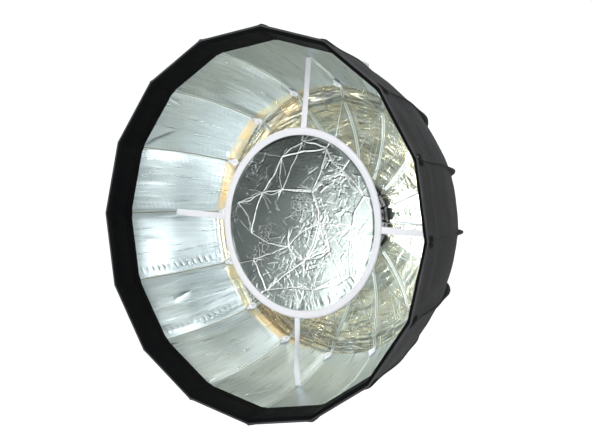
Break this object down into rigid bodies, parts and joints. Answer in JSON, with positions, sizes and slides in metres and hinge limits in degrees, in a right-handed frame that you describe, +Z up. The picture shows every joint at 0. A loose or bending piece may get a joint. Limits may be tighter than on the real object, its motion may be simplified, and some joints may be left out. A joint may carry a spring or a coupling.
{
  "type": "octabox",
  "caption": "Deep round studio softbox: ribbed folding shell with silver lining, an inner deflector disc on straps and a lamp mount ring.",
  "frame": {"origin": "centre of the mount ring's rear seat, on the lamp's axis", "axes": "+Y back towards the lamp; the mouth faces -Y; +Z up; the first rib stands along +X"},
  "size_m": [0.8496, 0.445, 0.8496],
  "materials": {
    "hub_metal": "satin black",
    "hub_plastic": "matte black",
    "spring_steel": "bright drawn wire",
    "shell_cloth": "black nylon outside",
    "lining_cloth": "silver ripstop lining",
    "foil": "crinkled metallised foil",
    "white_binding": "white woven tape",
    "clear_plastic": "milky white clips"
  },
  "bodies": {
    "hub": {"mount_ring": "hub_metal", "rib_crown": "hub_plastic", "hinge_wire": "spring_steel"},
    "runner": {"support_ring": "hub_plastic"},
    "latch_right_body": {"latch_right": "spring_steel"},
    "latch_left_body": {"latch_left": "spring_steel"},
    "deflector": {"deflector_foil": "foil", "deflector_hoop": "white_binding", "deflector_strap_top": "white_binding", "deflector_strap_right": "white_binding", "deflector_strap_bottom": "white_binding", "deflector_strap_left": "white_binding"},
    "rib_01_body": {"rib_01": "spring_steel", "gore_01": "shell_cloth"},
    "strut_01_body": {"strut_01": "spring_steel"},
    "rib_02_body": {"rib_02": "spring_steel", "gore_02": "shell_cloth"},
    "strut_02_body": {"strut_02": "spring_steel"},
    "rib_03_body": {"rib_03": "spring_steel", "gore_03": "shell_cloth"},
    "strut_03_body": {"strut_03": "spring_steel"},
    "rib_04_body": {"rib_04": "spring_steel", "gore_04": "shell_cloth"},
    "strut_04_body": {"strut_04": "spring_steel"},
    "rib_05_body": {"rib_05": "spring_steel", "gore_05": "shell_cloth"},
    "strut_05_body": {"strut_05": "spring_steel"},
    "rib_06_body": {"rib_06": "spring_steel", "gore_06": "shell_cloth"},
    "strut_06_body": {"strut_06": "spring_steel"},
    "rib_07_body": {"rib_07": "spring_steel", "gore_07": "shell_cloth"},
    "strut_07_body": {"strut_07": "spring_steel"},
    "rib_08_body": {"rib_08": "spring_steel", "gore_08": "shell_cloth"},
    "strut_08_body": {"strut_08": "spring_steel"},
    "rib_09_body": {"rib_09": "spring_steel", "gore_09": "shell_cloth"},
    "strut_09_body": {"strut_09": "spring_steel"},
    "rib_10_body": {"rib_10": "spring_steel", "gore_10": "shell_cloth"},
    "strut_10_body": {"strut_10": "spring_steel"},
    "rib_11_body": {"rib_11": "spring_steel", "gore_11": "shell_cloth"},
    "strut_11_body": {"strut_11": "spring_steel"},
    "rib_12_body": {"rib_12": "spring_steel", "gore_12": "shell_cloth"},
    "strut_12_body": {"strut_12": "spring_steel"},
    "rib_13_body": {"rib_13": "spring_steel", "gore_13": "shell_cloth"},
    "strut_13_body": {"strut_13": "spring_steel"},
    "rib_14_body": {"rib_14": "spring_steel", "gore_14": "shell_cloth"},
    "strut_14_body": {"strut_14": "spring_steel"},
    "rib_15_body": {"rib_15": "spring_steel", "gore_15": "shell_cloth"},
    "strut_15_body": {"strut_15": "spring_steel"},
    "rib_16_body": {"rib_16": "spring_steel", "gore_16": "shell_cloth"},
    "strut_16_body": {"strut_16": "spring_steel"}
  },
  "joints": [
    {"name": "support_ring_slide", "type": "slide", "parent": "hub", "child": "runner", "axis": [0, -1, 0], "range_m": [0, 0.241]},
    {"name": "deflector_lift_out", "type": "slide", "parent": "hub", "child": "deflector", "axis": [0, -1, 0], "range_m": [0, 0.5202], "deforming": ["deflector_strap_top", "deflector_strap_right", "deflector_strap_bottom", "deflector_strap_left"]},
    {"name": "rib_hinge_01", "type": "hinge", "parent": "hub", "child": "rib_01_body", "pos_m": [0.078, -0.022, 0], "axis": [0, 0, -1], "range_deg": [0, 40.01], "deforming": ["gore_01"]},
    {"name": "strut_hinge_01", "type": "hinge", "parent": "rib_01_body", "child": "strut_01_body", "pos_m": [0.27808, -0.10254, 0], "axis": [0, 0, 1], "range_deg": [0, 83.67]},
    {"name": "rib_hinge_02", "type": "hinge", "parent": "hub", "child": "rib_02_body", "pos_m": [0.07206, -0.022, 0.02985], "axis": [0.3827, 0, -0.9239], "range_deg": [0, 40.01], "deforming": ["gore_02"]},
    {"name": "strut_hinge_02", "type": "hinge", "parent": "rib_02_body", "child": "strut_02_body", "pos_m": [0.25691, -0.10254, 0.10642], "axis": [-0.3827, 0, 0.9239], "range_deg": [0, 83.67]},
    {"name": "rib_hinge_03", "type": "hinge", "parent": "hub", "child": "rib_03_body", "pos_m": [0.05515, -0.022, 0.05515], "axis": [0.7071, 0, -0.7071], "range_deg": [0, 40.01], "deforming": ["gore_03"]},
    {"name": "strut_hinge_03", "type": "hinge", "parent": "rib_03_body", "child": "strut_03_body", "pos_m": [0.19663, -0.10254, 0.19663], "axis": [-0.7071, 0, 0.7071], "range_deg": [0, 83.67]},
    {"name": "rib_hinge_04", "type": "hinge", "parent": "hub", "child": "rib_04_body", "pos_m": [0.02985, -0.022, 0.07206], "axis": [0.9239, 0, -0.3827], "range_deg": [0, 40.01], "deforming": ["gore_04"]},
    {"name": "strut_hinge_04", "type": "hinge", "parent": "rib_04_body", "child": "strut_04_body", "pos_m": [0.10642, -0.10254, 0.25691], "axis": [-0.9239, 0, 0.3827], "range_deg": [0, 83.67]},
    {"name": "rib_hinge_05", "type": "hinge", "parent": "hub", "child": "rib_05_body", "pos_m": [0, -0.022, 0.078], "axis": [1, 0, 0], "range_deg": [0, 40.01], "deforming": ["gore_05"]},
    {"name": "strut_hinge_05", "type": "hinge", "parent": "rib_05_body", "child": "strut_05_body", "pos_m": [0, -0.10254, 0.27808], "axis": [-1, 0, 0], "range_deg": [0, 83.67]},
    {"name": "rib_hinge_06", "type": "hinge", "parent": "hub", "child": "rib_06_body", "pos_m": [-0.02985, -0.022, 0.07206], "axis": [0.9239, 0, 0.3827], "range_deg": [0, 40.01], "deforming": ["gore_06"]},
    {"name": "strut_hinge_06", "type": "hinge", "parent": "rib_06_body", "child": "strut_06_body", "pos_m": [-0.10642, -0.10254, 0.25691], "axis": [-0.9239, 0, -0.3827], "range_deg": [0, 83.67]},
    {"name": "rib_hinge_07", "type": "hinge", "parent": "hub", "child": "rib_07_body", "pos_m": [-0.05515, -0.022, 0.05515], "axis": [0.7071, 0, 0.7071], "range_deg": [0, 40.01], "deforming": ["gore_07"]},
    {"name": "strut_hinge_07", "type": "hinge", "parent": "rib_07_body", "child": "strut_07_body", "pos_m": [-0.19663, -0.10254, 0.19663], "axis": [-0.7071, 0, -0.7071], "range_deg": [0, 83.67]},
    {"name": "rib_hinge_08", "type": "hinge", "parent": "hub", "child": "rib_08_body", "pos_m": [-0.07206, -0.022, 0.02985], "axis": [0.3827, 0, 0.9239], "range_deg": [0, 40.01], "deforming": ["gore_08"]},
    {"name": "strut_hinge_08", "type": "hinge", "parent": "rib_08_body", "child": "strut_08_body", "pos_m": [-0.25691, -0.10254, 0.10642], "axis": [-0.3827, 0, -0.9239], "range_deg": [0, 83.67]},
    {"name": "rib_hinge_09", "type": "hinge", "parent": "hub", "child": "rib_09_body", "pos_m": [-0.078, -0.022, 0], "axis": [0, 0, 1], "range_deg": [0, 40.01], "deforming": ["gore_09"]},
    {"name": "strut_hinge_09", "type": "hinge", "parent": "rib_09_body", "child": "strut_09_body", "pos_m": [-0.27808, -0.10254, 0], "axis": [0, 0, -1], "range_deg": [0, 83.67]},
    {"name": "rib_hinge_10", "type": "hinge", "parent": "hub", "child": "rib_10_body", "pos_m": [-0.07206, -0.022, -0.02985], "axis": [-0.3827, 0, 0.9239], "range_deg": [0, 40.01], "deforming": ["gore_10"]},
    {"name": "strut_hinge_10", "type": "hinge", "parent": "rib_10_body", "child": "strut_10_body", "pos_m": [-0.25691, -0.10254, -0.10642], "axis": [0.3827, 0, -0.9239], "range_deg": [0, 83.67]},
    {"name": "rib_hinge_11", "type": "hinge", "parent": "hub", "child": "rib_11_body", "pos_m": [-0.05515, -0.022, -0.05515], "axis": [-0.7071, 0, 0.7071], "range_deg": [0, 40.01], "deforming": ["gore_11"]},
    {"name": "strut_hinge_11", "type": "hinge", "parent": "rib_11_body", "child": "strut_11_body", "pos_m": [-0.19663, -0.10254, -0.19663], "axis": [0.7071, 0, -0.7071], "range_deg": [0, 83.67]},
    {"name": "rib_hinge_12", "type": "hinge", "parent": "hub", "child": "rib_12_body", "pos_m": [-0.02985, -0.022, -0.07206], "axis": [-0.9239, 0, 0.3827], "range_deg": [0, 40.01], "deforming": ["gore_12"]},
    {"name": "strut_hinge_12", "type": "hinge", "parent": "rib_12_body", "child": "strut_12_body", "pos_m": [-0.10642, -0.10254, -0.25691], "axis": [0.9239, 0, -0.3827], "range_deg": [0, 83.67]},
    {"name": "rib_hinge_13", "type": "hinge", "parent": "hub", "child": "rib_13_body", "pos_m": [0, -0.022, -0.078], "axis": [-1, 0, 0], "range_deg": [0, 40.01], "deforming": ["gore_13"]},
    {"name": "strut_hinge_13", "type": "hinge", "parent": "rib_13_body", "child": "strut_13_body", "pos_m": [0, -0.10254, -0.27808], "axis": [1, 0, 0], "range_deg": [0, 83.67]},
    {"name": "rib_hinge_14", "type": "hinge", "parent": "hub", "child": "rib_14_body", "pos_m": [0.02985, -0.022, -0.07206], "axis": [-0.9239, 0, -0.3827], "range_deg": [0, 40.01], "deforming": ["gore_14"]},
    {"name": "strut_hinge_14", "type": "hinge", "parent": "rib_14_body", "child": "strut_14_body", "pos_m": [0.10642, -0.10254, -0.25691], "axis": [0.9239, 0, 0.3827], "range_deg": [0, 83.67]},
    {"name": "rib_hinge_15", "type": "hinge", "parent": "hub", "child": "rib_15_body", "pos_m": [0.05515, -0.022, -0.05515], "axis": [-0.7071, 0, -0.7071], "range_deg": [0, 40.01], "deforming": ["gore_15"]},
    {"name": "strut_hinge_15", "type": "hinge", "parent": "rib_15_body", "child": "strut_15_body", "pos_m": [0.19663, -0.10254, -0.19663], "axis": [0.7071, 0, 0.7071], "range_deg": [0, 83.67]},
    {"name": "rib_hinge_16", "type": "hinge", "parent": "hub", "child": "rib_16_body", "pos_m": [0.07206, -0.022, -0.02985], "axis": [-0.3827, 0, -0.9239], "range_deg": [0, 40.01], "deforming": ["gore_16"]},
    {"name": "strut_hinge_16", "type": "hinge", "parent": "rib_16_body", "child": "strut_16_body", "pos_m": [0.25691, -0.10254, -0.10642], "axis": [0.3827, 0, 0.9239], "range_deg": [0, 83.67]},
    {"name": "latch_right_press", "type": "hinge", "parent": "hub", "child": "latch_right_body", "pos_m": [0.05355, -0.016, 0.01065], "axis": [0.1951, 0, -0.9808], "range_deg": [0, 4.5], "stiffness_Nm_per_rad": 0.6},
    {"name": "latch_left_press", "type": "hinge", "parent": "hub", "child": "latch_left_body", "pos_m": [-0.05355, -0.016, -0.01065], "axis": [-0.1951, 0, 0.9808], "range_deg": [0, 4.5], "stiffness_Nm_per_rad": 0.6}
  ],
  "couplings": [
    {"joint": "deflector_lift_out", "follows": "support_ring_slide", "ratio": 2.1577},
    {"joint": "rib_hinge_01", "follows": "support_ring_slide", "rad_per_m": 2.8968},
    {"joint": "strut_hinge_01", "follows": "support_ring_slide", "rad_per_m": 6.0585},
    {"joint": "rib_hinge_02", "follows": "support_ring_slide", "rad_per_m": 2.8968},
    {"joint": "strut_hinge_02", "follows": "support_ring_slide", "rad_per_m": 6.0585},
    {"joint": "rib_hinge_03", "follows": "support_ring_slide", "rad_per_m": 2.8968},
    {"joint": "strut_hinge_03", "follows": "support_ring_slide", "rad_per_m": 6.0585},
    {"joint": "rib_hinge_04", "follows": "support_ring_slide", "rad_per_m": 2.8968},
    {"joint": "strut_hinge_04", "follows": "support_ring_slide", "rad_per_m": 6.0585},
    {"joint": "rib_hinge_05", "follows": "support_ring_slide", "rad_per_m": 2.8968},
    {"joint": "strut_hinge_05", "follows": "support_ring_slide", "rad_per_m": 6.0585},
    {"joint": "rib_hinge_06", "follows": "support_ring_slide", "rad_per_m": 2.8968},
    {"joint": "strut_hinge_06", "follows": "support_ring_slide", "rad_per_m": 6.0585},
    {"joint": "rib_hinge_07", "follows": "support_ring_slide", "rad_per_m": 2.8968},
    {"joint": "strut_hinge_07", "follows": "support_ring_slide", "rad_per_m": 6.0585},
    {"joint": "rib_hinge_08", "follows": "support_ring_slide", "rad_per_m": 2.8968},
    {"joint": "strut_hinge_08", "follows": "support_ring_slide", "rad_per_m": 6.0585},
    {"joint": "rib_hinge_09", "follows": "support_ring_slide", "rad_per_m": 2.8968},
    {"joint": "strut_hinge_09", "follows": "support_ring_slide", "rad_per_m": 6.0585},
    {"joint": "rib_hinge_10", "follows": "support_ring_slide", "rad_per_m": 2.8968},
    {"joint": "strut_hinge_10", "follows": "support_ring_slide", "rad_per_m": 6.0585},
    {"joint": "rib_hinge_11", "follows": "support_ring_slide", "rad_per_m": 2.8968},
    {"joint": "strut_hinge_11", "follows": "support_ring_slide", "rad_per_m": 6.0585},
    {"joint": "rib_hinge_12", "follows": "support_ring_slide", "rad_per_m": 2.8968},
    {"joint": "strut_hinge_12", "follows": "support_ring_slide", "rad_per_m": 6.0585},
    {"joint": "rib_hinge_13", "follows": "support_ring_slide", "rad_per_m": 2.8968},
    {"joint": "strut_hinge_13", "follows": "support_ring_slide", "rad_per_m": 6.0585},
    {"joint": "rib_hinge_14", "follows": "support_ring_slide", "rad_per_m": 2.8968},
    {"joint": "strut_hinge_14", "follows": "support_ring_slide", "rad_per_m": 6.0585},
    {"joint": "rib_hinge_15", "follows": "support_ring_slide", "rad_per_m": 2.8968},
    {"joint": "strut_hinge_15", "follows": "support_ring_slide", "rad_per_m": 6.0585},
    {"joint": "rib_hinge_16", "follows": "support_ring_slide", "rad_per_m": 2.8968},
    {"joint": "strut_hinge_16", "follows": "support_ring_slide", "rad_per_m": 6.0585}
  ]
}
